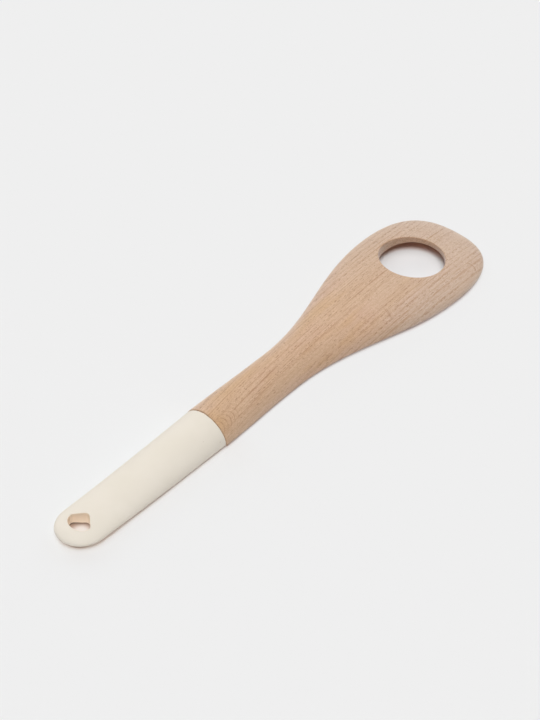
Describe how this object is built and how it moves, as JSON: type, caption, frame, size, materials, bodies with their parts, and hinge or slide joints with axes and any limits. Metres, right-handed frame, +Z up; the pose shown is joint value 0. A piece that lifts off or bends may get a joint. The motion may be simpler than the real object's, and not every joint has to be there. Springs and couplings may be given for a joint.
{
  "type": "salad spoon",
  "caption": "Long beech spoon with a shallow bowl, a round drain hole through its head and a cream silicone sleeve with a hanging hole on its handle.",
  "frame": {"origin": "centre of the spoon's outline on the table, with the spoon lying on its flat face", "axes": "+X along the spoon from the handle end towards the tip of the head, +Y across it, +Z up, out of its domed back"},
  "size_m": [0.3, 0.0666, 0.0155],
  "materials": {
    "beech": "fine straight-grained beech, sanded and lightly oiled",
    "silicone": "matte cream silicone"
  },
  "bodies": {
    "root": {"spoon_body": "beech", "grip_sleeve": "silicone"}
  },
  "joints": []
}
